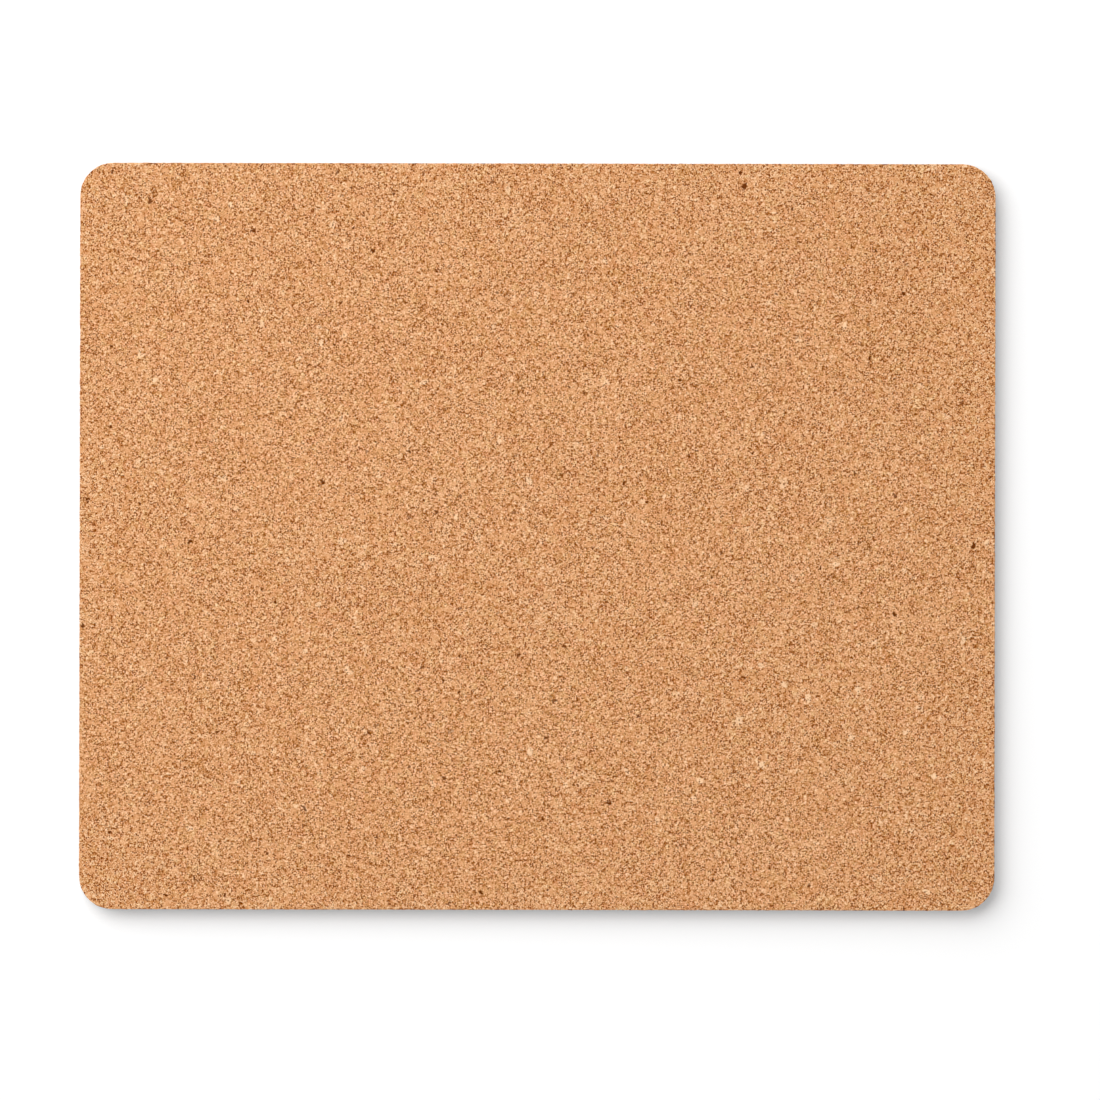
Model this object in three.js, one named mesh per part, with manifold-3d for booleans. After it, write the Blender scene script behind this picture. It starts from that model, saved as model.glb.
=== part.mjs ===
// Cork mouse pad: a sheet of agglomerated cork bonded to a non-slip rubber base.
// Millimetres, +Z up. The origin is on the desk, under the middle of the pad.

import * as THREE from "three";
import { mergeVertices } from "three/addons/utils/BufferGeometryUtils.js";
import Module from "manifold-3d";

const wasm = await Module();
wasm.setup();

// Driving dimensions
const PAD_WIDTH = 220; // along X
const PAD_DEPTH = 179.4; // along Y
const CORNER_RADIUS = 8; // of the die-cut outline
const CORK_THICKNESS = 1.8;
const CORK_EDGE_ROUND = 0.4; // eased edge round the working face
const BASE_THICKNESS = 2;
const BASE_EDGE_ROUND = 0.3; // eased edge round the desk face
const ADHESIVE_THICKNESS = 0.16;
const ADHESIVE_SETBACK = 0.3; // how far the film stops short of the cut edge
const LAYER_CLEARANCE = 0.02; // between the film and each sheet that it bonds

// Facets of the round stretches
const CORNER_DIVISIONS = 8; // half the facets in a corner of the outline
const EDGE_DIVISIONS = 3; // facets across an eased edge

// Heights of the layers, from the desk up
const ADHESIVE_BOTTOM = BASE_THICKNESS + LAYER_CLEARANCE;
const CORK_BOTTOM = ADHESIVE_BOTTOM + ADHESIVE_THICKNESS + LAYER_CLEARANCE;

// The outline of the pad, drawn in from the cut edge by the setback.
function padOutline(setback = 0) {
  const radius = CORNER_RADIUS - setback;
  const x = PAD_WIDTH / 2 - setback - radius;
  const y = PAD_DEPTH / 2 - setback - radius;
  const quarter = Math.PI / 2;
  const outline = new THREE.Shape();
  outline.absarc(x, y, radius, 0, quarter);
  outline.absarc(-x, y, radius, quarter, 2 * quarter);
  outline.absarc(-x, -y, radius, 2 * quarter, 3 * quarter);
  outline.absarc(x, -y, radius, 3 * quarter, 4 * quarter);
  outline.closePath();
  return outline;
}

// A closed geometry as a solid that can be cut.
function toSolid(geometry) {
  const bare = geometry.clone();
  bare.deleteAttribute("normal");
  bare.deleteAttribute("uv");
  const merged = mergeVertices(bare);
  return new wasm.Manifold(
    new wasm.Mesh({
      numProp: 3,
      vertProperties: new Float32Array(merged.attributes.position.array),
      triVerts: new Uint32Array(merged.index.array),
    }),
  );
}

// A cut solid as a geometry that can be drawn.
function toGeometry(solid) {
  const mesh = solid.getMesh();
  const geometry = new THREE.BufferGeometry();
  geometry.setAttribute("position", new THREE.BufferAttribute(mesh.vertProperties, mesh.numProp));
  geometry.setIndex(new THREE.BufferAttribute(mesh.triVerts, 1));
  geometry.computeVertexNormals();
  return geometry;
}

// A die-cut sheet that stands on z = 0, with the edge of its upper face eased.
// It is extruded with both edges eased, and the lower eased band is cut away.
function easedSheet(thickness, edgeRound) {
  const extruded = new THREE.ExtrudeGeometry(padOutline(), {
    depth: thickness - edgeRound,
    curveSegments: CORNER_DIVISIONS,
    bevelThickness: edgeRound,
    bevelSize: edgeRound,
    bevelOffset: -edgeRound,
    bevelSegments: EDGE_DIVISIONS,
  });
  const lowerBand = new THREE.BoxGeometry(2 * PAD_WIDTH, 2 * PAD_DEPTH, 2 * edgeRound);
  lowerBand.translate(0, 0, -edgeRound);
  return toGeometry(toSolid(extruded).subtract(toSolid(lowerBand)));
}

// The working face that the mouse runs on.
function corkSheet() {
  const cork = new THREE.MeshStandardMaterial({ color: 0xd3996b, roughness: 0.85, metalness: 0 });
  const sheet = new THREE.Mesh(easedSheet(CORK_THICKNESS, CORK_EDGE_ROUND), cork);
  sheet.name = "cork_sheet";
  sheet.position.z = CORK_BOTTOM;
  return sheet;
}

// The film of laminating adhesive that joins the cork to the base.
function adhesiveFilm() {
  const film = new THREE.ExtrudeGeometry(padOutline(ADHESIVE_SETBACK), {
    depth: ADHESIVE_THICKNESS,
    curveSegments: CORNER_DIVISIONS,
    bevelEnabled: false,
  });
  const dryGlue = new THREE.MeshStandardMaterial({ color: 0xb98f52, roughness: 0.35, metalness: 0 });
  const mesh = new THREE.Mesh(film, dryGlue);
  mesh.name = "adhesive_film";
  mesh.position.z = ADHESIVE_BOTTOM;
  return mesh;
}

// The non-slip sheet that lies on the desk, turned over so that its eased edge is below.
function rubberBase() {
  const rubber = new THREE.MeshStandardMaterial({ color: 0x1d1d1e, roughness: 0.9, metalness: 0 });
  const sheet = new THREE.Mesh(easedSheet(BASE_THICKNESS, BASE_EDGE_ROUND), rubber);
  sheet.name = "rubber_base";
  sheet.rotation.x = Math.PI;
  sheet.position.z = BASE_THICKNESS;
  return sheet;
}

const mousePad = new THREE.Group();
mousePad.add(rubberBase(), adhesiveFilm(), corkSheet());

export default mousePad;
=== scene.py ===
"""A cork mouse pad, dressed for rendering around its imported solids.

A sheet of agglomerated cork is bonded by a film of glue to a foam-rubber base.
Each layer has its own settings and operator, and one more operator sets the stage.
"""

import math

import bmesh
import bpy
import numpy as np
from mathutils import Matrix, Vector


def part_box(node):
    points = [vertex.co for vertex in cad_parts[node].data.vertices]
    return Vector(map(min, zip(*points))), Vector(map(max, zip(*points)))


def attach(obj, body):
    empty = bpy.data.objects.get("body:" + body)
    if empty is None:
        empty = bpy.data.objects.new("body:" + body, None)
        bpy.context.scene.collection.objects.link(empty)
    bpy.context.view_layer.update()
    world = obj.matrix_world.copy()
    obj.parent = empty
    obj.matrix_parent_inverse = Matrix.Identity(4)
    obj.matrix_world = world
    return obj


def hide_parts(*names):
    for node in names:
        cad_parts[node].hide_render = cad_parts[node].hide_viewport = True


bl_info = {
    "name": "Cork Mouse Pad",
    "version": (1, 0, 0),
    "blender": (4, 5, 0),
    "location": "View3D > Sidebar > Mouse Pad",
    "description": "Models a cork mouse pad on a rubber base, and the studio that it is shown in",
    "category": "Object",
}

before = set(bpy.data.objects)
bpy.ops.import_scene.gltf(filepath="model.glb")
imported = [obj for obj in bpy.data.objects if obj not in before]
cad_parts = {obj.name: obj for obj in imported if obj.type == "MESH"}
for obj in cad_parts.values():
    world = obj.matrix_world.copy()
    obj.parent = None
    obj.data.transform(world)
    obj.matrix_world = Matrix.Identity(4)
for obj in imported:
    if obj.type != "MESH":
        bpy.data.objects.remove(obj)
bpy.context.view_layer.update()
CORK_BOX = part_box("cork_sheet")
BASE_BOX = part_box("rubber_base")

MM = 0.001

# Edges below the first angle are shaded smooth, and edges above the second are eased, in radians
SMOOTH_ANGLE = math.radians(40)
SHARP_ANGLE = 1.0

# Width of the camera's sensor, in millimetres
SENSOR_WIDTH = 36.0

# Sizes of the grain in the cork and of the pores in the rubber, in millimetres
CRUMB = 0.32
PORE = 0.46
GRANULE = 0.75
LUMP = 1.6
BARK_FLECK = 1.1
CREAM_FLECK = 1.8
FOAM_PORE = 0.42

# Layout of the bake map, in shares of its width
BAKE_MAP = "OFBake"
MAP_MARGIN = 0.004
STRIP_HEIGHT = 0.028
STRIP_PITCH = 0.032
HIDDEN_FACE = 0.04

# How squarely a face looks out of the side that shows, or out of the hidden side, to belong to it
SHOWN_SIDE = 0.55
HIDDEN_SIDE = 0.9


# Settings


def length(name, description, default):
    """A size that a user may change, in metres."""
    return bpy.props.FloatProperty(
        name=name,
        description=description,
        default=default,
        min=0.0,
        precision=5,
        subtype="DISTANCE",
        unit="LENGTH",
    )


def colour(name, description, default):
    """A colour that a user may change, as linear red, green and blue."""
    return bpy.props.FloatVectorProperty(
        name=name,
        description=description,
        default=default,
        min=0.0,
        max=1.0,
        size=3,
        subtype="COLOR",
    )


class CorkSheetSettings(bpy.types.PropertyGroup):
    """Sizes and colours of the cork sheet."""

    corner_radius: length("Corner Radius", "Radius of the die-cut corners", 8 * MM)
    spacing: length("Spacing", "Distance between the points of the cork face", 0.8 * MM)
    edge_round: length("Edge Round", "Width of the eased edge round the working face", 0.15 * MM)
    pit_depth: length("Pit Depth", "Depth of the larger pits in the face", 0.3 * MM)
    roughness_depth: length("Roughness", "Height of the granules left by sanding", 0.03 * MM)
    crumb_depth: length("Crumbs", "How far granules stand out of the cut edge", 0.16 * MM)
    bark: colour("Bark", "Colour of the rare flecks of bark", (0.16, 0.034, 0.002))
    pore: colour("Pore", "Colour at the bottom of the deepest pores", (0.24, 0.052, 0.002))
    brown: colour("Brown", "Colour of the brown granules", (0.49, 0.166, 0.028))
    tan: colour("Tan", "Colour of most granules", (0.682, 0.302, 0.117))
    straw: colour("Straw", "Colour of the lighter granules", (0.848, 0.446, 0.215))
    pale: colour("Pale", "Colour of the palest granules", (1.0, 0.66, 0.392))


class AdhesiveFilmSettings(bpy.types.PropertyGroup):
    """Sizes and colour of the film of glue."""

    spacing: length("Spacing", "Distance between the points of the film", 3 * MM)
    setback: length("Setback", "How far the film stops short of the cut edge", 0.2 * MM)
    bead: length("Bead", "How far the glue bulges out where it was pressed", 0.15 * MM)
    clearance: length("Clearance", "Gap between the film and each sheet", 0.005 * MM)
    amber: colour("Amber", "Colour of the dry glue", (0.485, 0.275, 0.084))


class RubberBaseSettings(bpy.types.PropertyGroup):
    """Sizes and colours of the rubber base."""

    corner_radius: length("Corner Radius", "Radius of the die-cut corners", 8 * MM)
    pitch: length("Grip Pitch", "Distance between the pads of the grip pattern", 2 * MM)
    groove_depth: length("Groove Depth", "Depth of the grooves between the pads", 0.3 * MM)
    groove_slope: length("Groove Slope", "Width of each pad's sloping side", 0.3 * MM)
    pore_depth: length("Pore Depth", "Depth of the pores in the cut edge", 0.1 * MM)
    black: colour("Black", "Colour of the rubber", (0.010, 0.010, 0.011))
    dust: colour("Dust", "Colour of the rubber where dust or rubbing greys it", (0.034, 0.034, 0.036))


class StageSettings(bpy.types.PropertyGroup):
    """The camera, the light and the floor."""

    view_width: length("View Width", "Width of what the camera sees at the cork face", 264.3 * MM)
    floor_size: length("Floor Size", "Side of the square floor", 6.0)
    lamp_size: length("Lamp Size", "Side of the square soft lamp", 3.0)
    lamp_place: bpy.props.FloatVectorProperty(
        name="Lamp Place",
        description="Where the soft lamp hangs, measured from the middle of the pad",
        default=(-1.2, 1.2, 1.3),
        size=3,
        subtype="TRANSLATION",
        unit="LENGTH",
    )
    aim_x: bpy.props.FloatProperty(
        name="Aim X",
        description="Where the middle of the picture falls, along the pad",
        default=3.06 * MM,
        precision=5,
        unit="LENGTH",
    )
    aim_y: bpy.props.FloatProperty(
        name="Aim Y",
        description="Where the middle of the picture falls, across the pad",
        default=-3.19 * MM,
        precision=5,
        unit="LENGTH",
    )
    roll: bpy.props.FloatProperty(
        name="Roll",
        description="Turn of the camera about its line of sight",
        default=math.radians(0.108),
        subtype="ANGLE",
        unit="ROTATION",
    )
    lens: bpy.props.FloatProperty(
        name="Lens",
        description="Focal length of the camera, in millimetres",
        default=200.0,
        min=10.0,
    )
    key_power: bpy.props.FloatProperty(
        name="Key Power",
        description="Power of the soft lamp at the upper left, in watts",
        default=92.0,
        min=0.0,
        unit="POWER",
    )
    fill_strength: bpy.props.FloatProperty(
        name="Fill Strength",
        description="Strength of the even light from all round",
        default=0.25,
        min=0.0,
    )
    floor_lift: bpy.props.FloatProperty(
        name="Floor Lift",
        description="How much brighter the camera sees the floor near the pad than the light makes it",
        default=0.28,
        min=0.0,
    )
    white: colour("White", "Colour of the floor", (0.8, 0.8, 0.8))


# Modelling steps


def start_grid(name, low, high, spacing, height):
    """Adds a flat grid over the plan of a box, as the start of a sheet, at the given height."""
    width = high.x - low.x
    depth = high.y - low.y
    bpy.ops.object.select_all(action="DESELECT")
    bpy.ops.mesh.primitive_grid_add(
        x_subdivisions=round(width / spacing),
        y_subdivisions=round(depth / spacing),
        size=1.0,
        calc_uvs=False,
        location=(0.0, 0.0, height),
    )
    piece = bpy.context.object
    piece.name = name
    piece.data.name = name
    piece.scale = (width, depth, 1.0)
    bpy.ops.object.transform_apply(location=True, rotation=False, scale=True)
    return piece


def arc_centre(piece, radius):
    """How far the middle of each corner's arc lies from the middle of a sheet, along x and y."""
    return piece.dimensions.x / 2 - radius, piece.dimensions.y / 2 - radius


def round_corners(piece, radius):
    """Draws the corner squares of a flat grid into quarter circles, ring by ring."""
    centre_x, centre_y = arc_centre(piece, radius)
    for vertex in piece.data.vertices:
        across = (abs(vertex.co.x) - centre_x) / radius
        along = (abs(vertex.co.y) - centre_y) / radius
        if min(across, along) <= 0.0:
            continue
        ring = max(across, along)
        turn = math.pi / 4 * min(across, along) / ring
        near = ring * math.cos(turn)
        far = ring * math.sin(turn)
        new_x, new_y = (near, far) if across > along else (far, near)
        vertex.co.x = math.copysign(centre_x + radius * new_x, vertex.co.x)
        vertex.co.y = math.copysign(centre_y + radius * new_y, vertex.co.y)


def trim_corners(piece, radius, band):
    """Moves the points outside a sheet's round corners, or in a band inside them, onto the arc."""
    centre_x, centre_y = arc_centre(piece, radius)
    for vertex in piece.data.vertices:
        across = abs(vertex.co.x) - centre_x
        along = abs(vertex.co.y) - centre_y
        reach = math.hypot(across, along)
        if min(across, along) > 0.0 and reach > radius - band:
            vertex.co.x = math.copysign(centre_x + across * radius / reach, vertex.co.x)
            vertex.co.y = math.copysign(centre_y + along * radius / reach, vertex.co.y)


def drop_trimmings(piece, radius):
    """Deletes the cells of a trimmed sheet that were left with all their points on a corner's arc."""
    mesh = bmesh.from_edit_mesh(piece.data)
    centre_x = max(vertex.co.x for vertex in mesh.verts) - radius
    centre_y = max(vertex.co.y for vertex in mesh.verts) - radius
    arc = radius - 0.001 * MM
    bpy.ops.mesh.select_mode(type="FACE")
    bpy.ops.mesh.select_all(action="DESELECT")
    for face in mesh.faces:
        reaches = (math.hypot(abs(v.co.x) - centre_x, abs(v.co.y) - centre_y) for v in face.verts)
        middle = face.calc_center_median()
        in_corner = abs(middle.x) > centre_x and abs(middle.y) > centre_y
        if in_corner and min(reaches) > arc:
            face.select_set(True)
    bmesh.update_edit_mesh(piece.data)
    bpy.ops.mesh.delete(type="FACE")


def start_editing(piece):
    """Opens one piece in edit mode."""
    bpy.ops.object.select_all(action="DESELECT")
    piece.select_set(True)
    bpy.context.view_layer.objects.active = piece
    bpy.ops.object.mode_set(mode="EDIT")


def stop_editing():
    """Makes every face point outwards and leaves edit mode."""
    bpy.ops.mesh.select_all(action="SELECT")
    bpy.ops.mesh.normals_make_consistent(inside=False)
    bpy.ops.object.mode_set(mode="OBJECT")


def select_edges(piece, wanted):
    """Selects the edges that the test accepts, and nothing else."""
    bpy.ops.mesh.select_mode(type="EDGE")
    bpy.ops.mesh.select_all(action="DESELECT")
    mesh = bmesh.from_edit_mesh(piece.data)
    for edge in mesh.edges:
        if wanted(edge):
            edge.select_set(True)
    bmesh.update_edit_mesh(piece.data)


def draw_walls(piece, rise, rows, cuts):
    """Cuts the open edge of a flat sheet finer, draws it up or down in rows and closes the far side."""
    select_edges(piece, lambda edge: edge.is_boundary)
    bpy.ops.mesh.subdivide(number_cuts=cuts)
    select_edges(piece, lambda edge: edge.is_boundary)
    for _ in range(rows):
        bpy.ops.mesh.extrude_region_move(TRANSFORM_OT_translate={"value": (0.0, 0.0, rise / rows)})
    bpy.ops.mesh.edge_face_add()


def weigh_points(piece, name, weight):
    """Makes a vertex group whose weights come from a function of each vertex's place."""
    group = piece.vertex_groups.new(name=name)
    for vertex in piece.data.vertices:
        group.add([vertex.index], weight(vertex.co), "REPLACE")


def displace(piece, texture, group, strength, middle, direction):
    """Moves the points of a vertex group by a texture, with an applied Displace modifier."""
    modifier = piece.modifiers.new(texture.name, "DISPLACE")
    modifier.texture = texture
    modifier.texture_coords = "LOCAL"
    modifier.vertex_group = group
    modifier.strength = strength
    modifier.mid_level = middle
    modifier.direction = direction
    bpy.ops.object.modifier_apply(modifier=modifier.name)


def clouds_texture(name, size):
    """A soft noise with lumps of the given size."""
    texture = bpy.data.textures.new(name, "CLOUDS")
    texture.noise_scale = size
    texture.noise_depth = 2
    texture.contrast = 1.6
    return texture


def pits_texture(name, spacing, share):
    """Round pits, one to each cell of the spacing, whose radius is a share of it."""
    texture = bpy.data.textures.new(name, "VORONOI")
    texture.noise_scale = spacing
    texture.use_color_ramp = True
    bottom, rim = texture.color_ramp.elements
    bottom.position = share / 3
    bottom.color = (0.0, 0.0, 0.0, 1.0)
    rim.position = share
    rim.color = (1.0, 1.0, 1.0, 1.0)
    return texture


def read_corners(mesh):
    """The place of every face corner of a mesh, and the normal of the face that it belongs to."""
    corners = np.empty(len(mesh.loops), dtype=int)
    mesh.loops.foreach_get("vertex_index", corners)
    places = np.empty(3 * len(mesh.vertices))
    mesh.vertices.foreach_get("co", places)
    sizes = np.empty(len(mesh.polygons), dtype=int)
    mesh.polygons.foreach_get("loop_total", sizes)
    normals = np.empty(3 * len(mesh.polygons))
    mesh.polygons.foreach_get("normal", normals)
    return places.reshape(-1, 3)[corners], np.repeat(normals.reshape(-1, 3), sizes, axis=0)


def lay_out_map(piece, facing):
    """Lays out the bake map: the face that shows is large, and the cut edge lies in strips beside it."""
    places, normals = read_corners(piece.data)
    low = places.min(axis=0)
    size = places.max(axis=0) - low
    x, y, z = ((places - low) / size).T
    side_x, side_y, up = normals.T
    first_strip = size[1] / size[0] + MAP_MARGIN
    on_end = abs(side_x) > abs(side_y)
    strip = np.where(on_end, 2 + (side_x > 0), side_y > 0)
    kinds = [up * facing > SHOWN_SIDE, up * facing < -HIDDEN_SIDE]
    across = np.select(kinds, [x, HIDDEN_FACE * x], np.where(on_end, y, x))
    along = np.select(
        kinds,
        [y * size[1] / size[0], first_strip + 4 * STRIP_PITCH + HIDDEN_FACE * y],
        first_strip + strip * STRIP_PITCH + z * STRIP_HEIGHT,
    )
    spread = np.column_stack((across, along)) * (1 - 2 * MAP_MARGIN) + MAP_MARGIN
    layer = piece.data.uv_layers.new(name=BAKE_MAP)
    layer.data.foreach_set("uv", spread.ravel())


def finish_piece(piece, node, material):
    """Shades a piece, gives it its material and ties it to the solid that it stands for."""
    bpy.ops.object.shade_smooth_by_angle(angle=SMOOTH_ANGLE)
    piece.data.materials.clear()
    piece.data.materials.append(material)
    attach(piece, "root")
    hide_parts(node)


# Material steps


def new_material(name):
    """Returns a new material, its node tree and its Principled shader."""
    material = bpy.data.materials.new(name)
    material.use_nodes = True
    tree = material.node_tree
    return material, tree, tree.nodes["Principled BSDF"]


def add_node(tree, kind, inputs=None, **options):
    """Adds a node with its options, and sets or links its input sockets by name or number."""
    made = tree.nodes.new(kind)
    for option, value in options.items():
        setattr(made, option, value)
    for key, value in (inputs or {}).items():
        if isinstance(value, bpy.types.NodeSocket):
            tree.links.new(value, made.inputs[key])
        else:
            made.inputs[key].default_value = value
    return made


def reckon(tree, operation, *values):
    """A Math node on numbers or sockets."""
    return add_node(tree, "ShaderNodeMath", dict(enumerate(values)), operation=operation).outputs[0]


def ramp(tree, factor, stops):
    """A colour ramp through (position, colour) stops."""
    made = add_node(tree, "ShaderNodeValToRGB", {"Fac": factor})
    elements = made.color_ramp.elements
    while len(elements) < len(stops):
        elements.new(0.5)
    for element, (position, shade) in zip(elements, stops):
        element.position = position
        element.color = (*shade, 1.0)
    return made.outputs["Color"]


def fade(tree, value, start, end):
    """A number that goes from 0 at start to 1 at end, smoothly."""
    return add_node(
        tree,
        "ShaderNodeMapRange",
        {"Value": value, "From Min": start, "From Max": end},
        interpolation_type="SMOOTHSTEP",
    ).outputs["Result"]


def mix(tree, factor, first, second, blend="MIX"):
    """A mix of two colours."""
    inputs = {0: factor, 6: first, 7: second}
    return add_node(tree, "ShaderNodeMix", inputs, data_type="RGBA", blend_type=blend).outputs[2]


def opaque(shade):
    """A colour property as red, green, blue and alpha."""
    return (*shade, 1.0)


def place_in_mm(tree):
    """The place on the piece, in millimetres."""
    where = add_node(tree, "ShaderNodeTexCoord").outputs["Object"]
    inputs = {0: where, "Scale": 1.0 / MM}
    return add_node(tree, "ShaderNodeVectorMath", inputs, operation="SCALE").outputs[0]


def height_in_mm(tree, place):
    """The height of a place above the desk."""
    return add_node(tree, "ShaderNodeSeparateXYZ", {"Vector": place}).outputs["Z"]


def soft_noise(tree, place, size, detail=2.0):
    """Noise with lumps of the given size in millimetres."""
    inputs = {"Vector": place, "Scale": 1.0 / size, "Detail": detail}
    return add_node(tree, "ShaderNodeTexNoise", inputs)


def crumple(tree, place, size, reach):
    """A place moved about by noise, so that cells drawn there get ragged edges."""
    sway = soft_noise(tree, place, size).outputs["Color"]
    inputs = {0: sway, 1: (0.5, 0.5, 0.5)}
    centred = add_node(tree, "ShaderNodeVectorMath", inputs, operation="SUBTRACT").outputs[0]
    inputs = {0: centred, 1: (reach, reach, reach), 2: place}
    return add_node(tree, "ShaderNodeVectorMath", inputs, operation="MULTIPLY_ADD").outputs[0]


def granules(tree, place, size):
    """Cells of the given size in millimetres: the distance to the middle, and three chance numbers."""
    cells = add_node(tree, "ShaderNodeTexVoronoi", {"Vector": place, "Scale": 1.0 / size})
    chance = add_node(tree, "ShaderNodeSeparateColor", {"Color": cells.outputs["Color"]})
    return cells.outputs["Distance"], chance.outputs


def bump(tree, height, depth):
    """A bump whose full height is the given depth in metres."""
    return add_node(tree, "ShaderNodeBump", {"Height": height, "Distance": depth}).outputs["Normal"]


def add_share(tree, total, value, share):
    """A number with a share of another added to it."""
    return reckon(tree, "MULTIPLY_ADD", value, share, total)


def chosen(tree, chance, gap, least, most, rim):
    """How far a granule is picked: more from the least chance number to the most, and not at its rim."""
    picked = fade(tree, chance, least, most)
    inner_rim = 0.78 * rim
    return reckon(tree, "MULTIPLY", picked, fade(tree, gap, rim, inner_rim))


def cork_grain(tree, place):
    """The fine grain of the cork: crumbs that are paler in the middle, and the pores between them."""
    crumb_gap, crumb = granules(tree, place, CRUMB)
    pore_gap, pore = granules(tree, place, PORE)
    # A partly cubed swing to either side leaves most crumbs near the middle tone
    swing = reckon(tree, "MULTIPLY_ADD", crumb[0], 2.0, -1.0)
    reach = reckon(tree, "MULTIPLY_ADD", reckon(tree, "MULTIPLY", swing, swing), 0.4, 0.11)
    grain = reckon(tree, "MULTIPLY", swing, reach)
    grain = add_share(tree, grain, fade(tree, crumb_gap, 0.56, 0.26), 0.52)
    # A cubed chance number leaves most pores shallow
    depth = reckon(tree, "MULTIPLY_ADD", reckon(tree, "POWER", pore[0], 3.0), 1.8, 0.04)
    hole = reckon(tree, "MULTIPLY", depth, fade(tree, pore_gap, 0.48, 0.34))
    return reckon(tree, "SUBTRACT", grain, hole)


def cork_tone(tree, flat_place, place, smooth):
    """How pale the cork is, from 0 in the deepest pore to 1 on the palest granule."""
    granule_gap, granule = granules(tree, place, GRANULE)
    unevenness = soft_noise(tree, flat_place, size=6.0).outputs["Fac"]
    patches = soft_noise(tree, flat_place, size=30.0).outputs["Fac"]
    barky = fade(tree, soft_noise(tree, flat_place, size=4.0).outputs["Fac"], 0.40, 0.62)
    bark_chance = add_share(tree, granule[2], barky, 0.12)
    specks = chosen(tree, bark_chance, granule_gap, least=0.94, most=1.08, rim=0.45)
    # Glints are random granules painted paler, partly as paler cork and partly as painted highlights on
    # the relief
    glints = chosen(tree, granule[1], granule_gap, least=0.87, most=1.0, rim=0.46)
    # Smooth lumps keep less of the grain than the rest does
    kept = reckon(tree, "MULTIPLY_ADD", smooth, -0.55, 0.6)
    kept = add_share(tree, kept, unevenness, 0.8)
    middle_tone = 0.443
    tone = reckon(tree, "MULTIPLY_ADD", cork_grain(tree, place), kept, middle_tone)
    shares = (
        (patches, 0.06),
        (granule[0], 0.05),
        (smooth, 0.11),
        (specks, -0.9),
        (glints, 0.8),
    )
    for value, share in shares:
        tone = add_share(tree, tone, value, share)
    return tone


def cork_flecks(tree, place):
    """Where the rare large granules are: the cream ones, and the dark ones of bark."""
    stretched = crumple(tree, place, size=3.0, reach=3.0)
    ragged = crumple(tree, stretched, size=1.0, reach=1.0)
    cream_gap, cream = granules(tree, ragged, CREAM_FLECK)
    bark_gap, bark = granules(tree, ragged, BARK_FLECK)
    cream_flecks = chosen(tree, cream[0], cream_gap, least=0.965, most=0.995, rim=0.46)
    bark_flecks = chosen(tree, bark[0], bark_gap, least=0.986, most=0.998, rim=0.44)
    return cream_flecks, bark_flecks


def cork_material(settings):
    """Sanded agglomerated cork: ragged granules of many tans, pores, and flecks of cream and bark."""
    material, tree, shader = new_material("cork")
    flat_place = place_in_mm(tree)
    place = crumple(tree, flat_place, size=0.5, reach=0.25)
    place = crumple(tree, place, size=0.2, reach=0.3)
    lump_gap, lump = granules(tree, place, LUMP)
    smooth = chosen(tree, lump[1], lump_gap, least=0.745, most=0.755, rim=0.48)
    tone = cork_tone(tree, flat_place, place, smooth)
    face = CORK_BOX[1].z / MM
    # Painted shade: the eased edge and the cut wall are made a tenth darker, partly for the more porous
    # cut and partly as the shade that falls on the sides
    cut_edge = fade(tree, height_in_mm(tree, flat_place), face - 0.2, face - 0.8)
    tone = add_share(tree, tone, cut_edge, -0.1)
    stops = (
        (0.0, settings.pore),
        (0.25, settings.brown),
        (0.5, settings.tan),
        (0.75, settings.straw),
        (1.0, settings.pale),
    )
    tints = (
        (0.0, (1.0, 0.95, 0.95)),
        (0.35, (1.0, 1.0, 1.0)),
        (0.65, (1.0, 1.0, 1.0)),
        (1.0, (0.98, 1.0, 0.92)),
    )
    cream, bark = cork_flecks(tree, place)
    shade = mix(tree, 1.0, ramp(tree, tone, stops), ramp(tree, lump[2], tints), "MULTIPLY")
    # Pores stay dark where they cut into a cream fleck
    cream = reckon(tree, "MULTIPLY", cream, fade(tree, tone, 0.0, 0.5))
    shade = mix(tree, cream, shade, opaque(settings.pale))
    shade = mix(tree, bark, shade, opaque(settings.bark))
    tree.links.new(shade, shader.inputs["Base Color"])
    tree.links.new(bump(tree, tone, depth=0.05 * MM), shader.inputs["Normal"])
    tree.links.new(reckon(tree, "MULTIPLY_ADD", tone, -0.15, 0.95), shader.inputs["Roughness"])
    shader.inputs["Specular IOR Level"].default_value = 0.1
    return material


def glue_material(settings):
    """Dry laminating glue: amber, with cloudy patches that shine less."""
    material, tree, shader = new_material("glue")
    cloud = soft_noise(tree, place_in_mm(tree), size=6.0, detail=4.0).outputs["Fac"]
    dull = tuple(0.6 * channel for channel in settings.amber)
    shade = ramp(tree, cloud, ((0.3, dull), (0.7, settings.amber)))
    tree.links.new(shade, shader.inputs["Base Color"])
    tree.links.new(reckon(tree, "MULTIPLY_ADD", cloud, -0.4, 0.6), shader.inputs["Roughness"])
    return material


def rubber_material(settings):
    """Black foam rubber: matt, with fine pores, patches of dust and grip pads rubbed grey by the desk."""
    material, tree, shader = new_material("rubber")
    place = place_in_mm(tree)
    pore_gap, pore = granules(tree, crumple(tree, place, size=0.4, reach=0.2), FOAM_PORE)
    skin = fade(tree, pore_gap, 0.2, 0.5)
    dust = fade(tree, soft_noise(tree, place, size=9.0, detail=5.0).outputs["Fac"], 0.35, 0.75)
    bloom = add_share(tree, reckon(tree, "MULTIPLY", skin, pore[0]), dust, 0.7)
    rubbed = fade(tree, height_in_mm(tree, place), 0.2, 0.0)
    bloom = add_share(tree, bloom, rubbed, 0.4)
    shade = ramp(tree, bloom, ((0.0, settings.black), (1.0, settings.dust)))
    tree.links.new(shade, shader.inputs["Base Color"])
    tree.links.new(bump(tree, skin, depth=0.06 * MM), shader.inputs["Normal"])
    tree.links.new(reckon(tree, "MULTIPLY_ADD", bloom, 0.15, 0.7), shader.inputs["Roughness"])
    shader.inputs["Specular IOR Level"].default_value = 0.3
    return material


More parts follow.
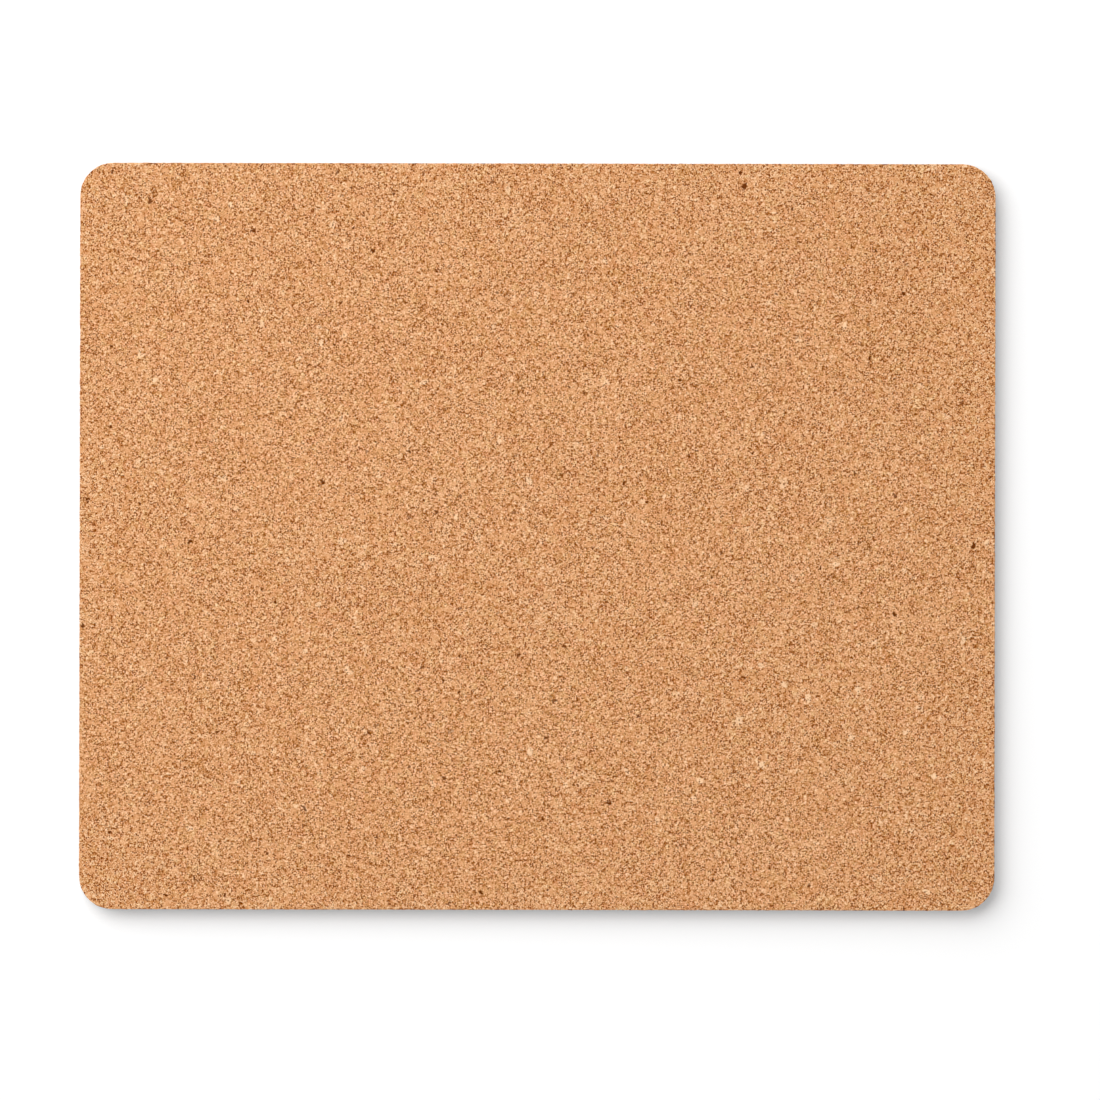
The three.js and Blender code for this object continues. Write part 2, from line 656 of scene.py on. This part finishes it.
def seen_directly(tree):
    """1 for rays from the camera, or on their way to it by gloss or glass, and 0 for light."""
    path = add_node(tree, "ShaderNodeLightPath").outputs
    seen = reckon(tree, "MAXIMUM", path["Is Camera Ray"], path["Is Glossy Ray"])
    return reckon(tree, "MAXIMUM", seen, path["Is Transmission Ray"])


def floor_material(settings):
    """A white floor that keeps shadows, seen brighter than the light makes it, and more so far away."""
    material, tree, shader = new_material("floor")
    shader.inputs["Base Color"].default_value = opaque(settings.white)
    shader.inputs["Roughness"].default_value = 1.0
    shader.inputs["Specular IOR Level"].default_value = 0.0
    shader.inputs["Emission Color"].default_value = (1.0, 1.0, 1.0, 1.0)
    distance = add_node(tree, "ShaderNodeVectorMath", {0: place_in_mm(tree)}, operation="LENGTH")
    far = fade(tree, distance.outputs["Value"], start=300.0, end=1500.0)
    lift = add_share(tree, settings.floor_lift, far, 0.6)
    seen_lift = reckon(tree, "MULTIPLY", seen_directly(tree), lift)
    tree.links.new(seen_lift, shader.inputs["Emission Strength"])
    return material


# Operators


class PAD_OT_cork_sheet(bpy.types.Operator):
    """Model the cork sheet that the mouse runs on"""

    bl_idname = "mouse_pad.cork_sheet"
    bl_label = "Add Cork Sheet"
    bl_options = {"REGISTER", "UNDO"}

    def execute(self, context):
        settings = context.scene.cork_sheet
        low, high = CORK_BOX
        piece = start_grid("cork_face", low, high, settings.spacing, high.z)
        round_corners(piece, settings.corner_radius)
        start_editing(piece)
        draw_walls(piece, low.z - high.z, rows=5, cuts=1)
        top = high.z - 0.01 * MM
        select_edges(
            piece,
            lambda edge: edge.verts[0].co.z > top and edge.calc_face_angle(0.0) > SHARP_ANGLE,
        )
        bpy.ops.mesh.bevel(offset=settings.edge_round, segments=3, affect="EDGES")
        stop_editing()
        weigh_points(piece, "face", lambda place: float(place.z > top))
        lowest = low.z + 0.1 * MM
        highest = high.z - 0.05 * MM
        weigh_points(piece, "cut_edge", lambda place: float(lowest < place.z < highest))
        roughness = clouds_texture("granule_roughness", 1.6 * MM)
        large_pits = pits_texture("large_pits", spacing=9 * MM, share=0.12)
        small_pits = pits_texture("small_pits", spacing=5 * MM, share=0.16)
        crumbs = clouds_texture("crumbs", 0.8 * MM)
        small_depth = 0.6 * settings.pit_depth
        displace(piece, roughness, "face", settings.roughness_depth, middle=1.0, direction="Z")
        displace(piece, large_pits, "face", settings.pit_depth, middle=1.0, direction="Z")
        displace(piece, small_pits, "face", small_depth, middle=1.0, direction="Z")
        displace(piece, crumbs, "cut_edge", settings.crumb_depth, middle=0.6, direction="NORMAL")
        lay_out_map(piece, facing=1.0)
        finish_piece(piece, "cork_sheet", cork_material(settings))
        return {"FINISHED"}


class PAD_OT_adhesive_film(bpy.types.Operator):
    """Model the film of glue between the cork and the base"""

    bl_idname = "mouse_pad.adhesive_film"
    bl_label = "Add Adhesive Film"
    bl_options = {"REGISTER", "UNDO"}

    def execute(self, context):
        settings = context.scene.adhesive_film
        low, high = (corner.copy() for corner in CORK_BOX)
        for corner, side in ((low, 1), (high, -1)):
            corner.x += side * settings.setback
            corner.y += side * settings.setback
        bottom = BASE_BOX[1].z + settings.clearance
        top = CORK_BOX[0].z - settings.clearance
        piece = start_grid("glue_film", low, high, settings.spacing, top)
        round_corners(piece, context.scene.cork_sheet.corner_radius - settings.setback)
        start_editing(piece)
        draw_walls(piece, bottom - top, rows=2, cuts=3)
        stop_editing()
        middle = (bottom + top) / 2
        weigh_points(piece, "bead", lambda place: float(abs(place.z - middle) < settings.clearance))
        swelling = clouds_texture("glue_bead", 2.5 * MM)
        displace(piece, swelling, "bead", settings.bead, middle=0.0, direction="NORMAL")
        finish_piece(piece, "adhesive_film", glue_material(settings))
        return {"FINISHED"}


class PAD_OT_rubber_base(bpy.types.Operator):
    """Model the rubber base with its embossed grip"""

    bl_idname = "mouse_pad.rubber_base"
    bl_label = "Add Rubber Base"
    bl_options = {"REGISTER", "UNDO"}

    def execute(self, context):
        settings = context.scene.rubber_base
        low, high = BASE_BOX
        rim = low.z + settings.groove_depth
        piece = start_grid("rubber_sheet", low, high, settings.pitch, rim)
        trim_corners(piece, settings.corner_radius, band=0.45 * settings.pitch)
        start_editing(piece)
        drop_trimmings(piece, settings.corner_radius)
        bpy.ops.mesh.select_all(action="SELECT")
        bpy.ops.mesh.flip_normals()
        bpy.ops.mesh.inset(
            use_individual=True,
            thickness=settings.groove_slope,
            depth=settings.groove_depth,
        )
        draw_walls(piece, high.z - rim, rows=5, cuts=3)
        stop_editing()
        trim_corners(piece, settings.corner_radius, band=0.1 * MM)
        lowest = rim + 0.1 * MM
        highest = high.z - 0.1 * MM
        weigh_points(piece, "cut_edge", lambda place: float(lowest < place.z < highest))
        foam_pores = clouds_texture("foam_pores", 0.6 * MM)
        displace(piece, foam_pores, "cut_edge", settings.pore_depth, middle=0.6, direction="NORMAL")
        lay_out_map(piece, facing=-1.0)
        finish_piece(piece, "rubber_base", rubber_material(settings))
        return {"FINISHED"}


class PAD_OT_stage(bpy.types.Operator):
    """Set the floor, the lamp, the white room and the camera"""

    bl_idname = "mouse_pad.stage"
    bl_label = "Set Stage"
    bl_options = {"REGISTER", "UNDO"}

    def execute(self, context):
        settings = context.scene.pad_stage
        context.scene.view_settings.view_transform = "Standard"
        self.lay_floor(settings)
        self.hang_key_lamp(settings)
        self.fill_from_all_round(context, settings)
        self.point_camera(context, settings)
        return {"FINISHED"}

    def lay_floor(self, settings):
        """A broad white floor under the pad."""
        bpy.ops.mesh.primitive_plane_add(size=settings.floor_size, location=(0.0, 0.0, 0.0))
        floor = bpy.context.object
        floor.name = "floor"
        floor.data.materials.append(floor_material(settings))

    def hang_key_lamp(self, settings):
        """A large soft lamp at the upper left, which throws the shadow to the lower right."""
        bpy.ops.object.light_add(type="AREA", location=settings.lamp_place)
        lamp = bpy.context.object
        lamp.name = "key_lamp"
        lamp.data.energy = settings.key_power
        lamp.data.size = settings.lamp_size
        lamp.rotation_euler = (-lamp.location).to_track_quat("-Z", "Y").to_euler()

    def fill_from_all_round(self, context, settings):
        """Even light from a white room, which the camera sees as plain white."""
        world = bpy.data.worlds.new("white_room")
        world.use_nodes = True
        context.scene.world = world
        tree = world.node_tree
        room = tree.nodes["Background"]
        room.inputs["Color"].default_value = (1.0, 1.0, 1.0, 1.0)
        rise = 1.0 - settings.fill_strength
        strength = reckon(tree, "MULTIPLY_ADD", seen_directly(tree), rise, settings.fill_strength)
        tree.links.new(strength, room.inputs["Strength"])

    def point_camera(self, context, settings):
        """A camera that looks straight down at the cork face."""
        face = CORK_BOX[1].z
        distance = settings.view_width * settings.lens / SENSOR_WIDTH
        bpy.ops.object.camera_add(
            location=(settings.aim_x, settings.aim_y, face + distance),
            rotation=(0.0, 0.0, settings.roll),
        )
        camera = bpy.context.object
        camera.name = "camera"
        camera.data.lens = settings.lens
        camera.data.sensor_width = SENSOR_WIDTH
        camera.data.clip_start = 0.01
        context.scene.camera = camera


class PAD_PT_panel(bpy.types.Panel):
    """The steps that make the mouse pad, in order"""

    bl_idname = "PAD_PT_panel"
    bl_label = "Cork Mouse Pad"
    bl_space_type = "VIEW_3D"
    bl_region_type = "UI"
    bl_category = "Mouse Pad"

    def draw(self, context):
        for operator in STEPS:
            self.layout.operator(operator.bl_idname)


STEPS = (PAD_OT_rubber_base, PAD_OT_adhesive_film, PAD_OT_cork_sheet, PAD_OT_stage)
SETTINGS = {
    "cork_sheet": CorkSheetSettings,
    "adhesive_film": AdhesiveFilmSettings,
    "rubber_base": RubberBaseSettings,
    "pad_stage": StageSettings,
}


def register():
    """Makes the settings, operators and panel known to Blender."""
    for name, group in SETTINGS.items():
        bpy.utils.register_class(group)
        setattr(bpy.types.Scene, name, bpy.props.PointerProperty(type=group))
    for part in (*STEPS, PAD_PT_panel):
        bpy.utils.register_class(part)


def unregister():
    """Takes back what register made known."""
    for part in (PAD_PT_panel, *reversed(STEPS)):
        bpy.utils.unregister_class(part)
    for name, group in SETTINGS.items():
        delattr(bpy.types.Scene, name)
        bpy.utils.unregister_class(group)


def main():
    """Builds the pad and its stage."""
    register()
    bpy.ops.mouse_pad.rubber_base()
    bpy.ops.mouse_pad.adhesive_film()
    bpy.ops.mouse_pad.cork_sheet()
    bpy.ops.mouse_pad.stage()


if __name__ == "__main__":
    main()
